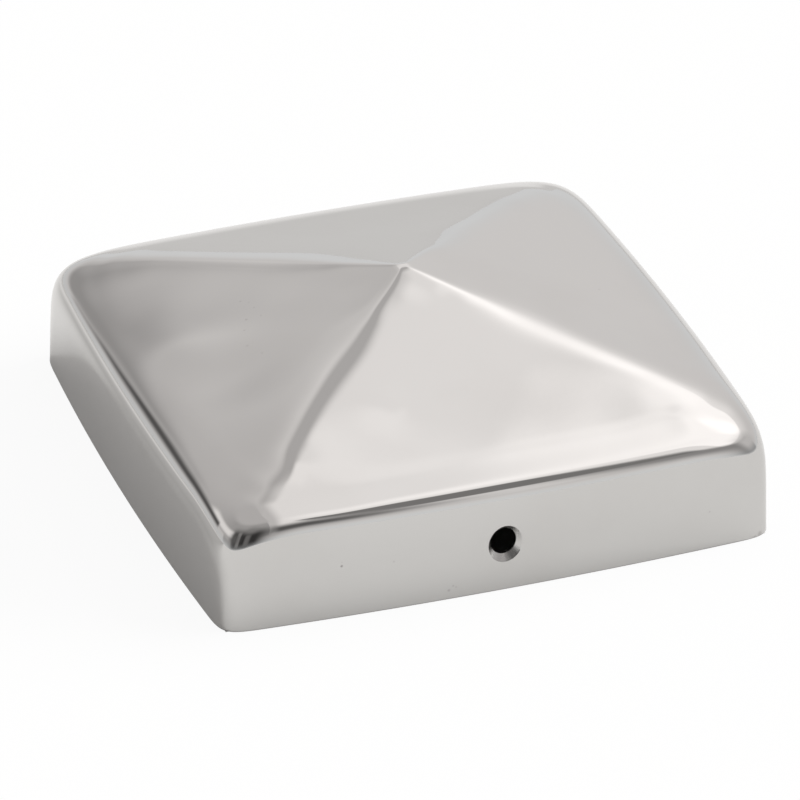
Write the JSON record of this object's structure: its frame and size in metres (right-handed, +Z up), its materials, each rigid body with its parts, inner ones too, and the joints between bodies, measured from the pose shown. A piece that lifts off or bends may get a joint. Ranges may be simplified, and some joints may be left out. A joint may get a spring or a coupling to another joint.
{
  "type": "post cap",
  "caption": "Square pyramid post cap drawn from polished stainless sheet, with rounded eaves, an open skirt that slips over a timber post and countersunk screw holes in opposite sides.",
  "frame": {"origin": "centre of the rim plane, on the cap's vertical axis", "axes": "+Z up through the apex of the pyramid, -Y out through the screw hole that the picture shows"},
  "size_m": [0.0958, 0.0958, 0.0333],
  "materials": {
    "polished_stainless": "polished"
  },
  "bodies": {
    "root": {"post_cap": "polished_stainless"}
  },
  "joints": []
}
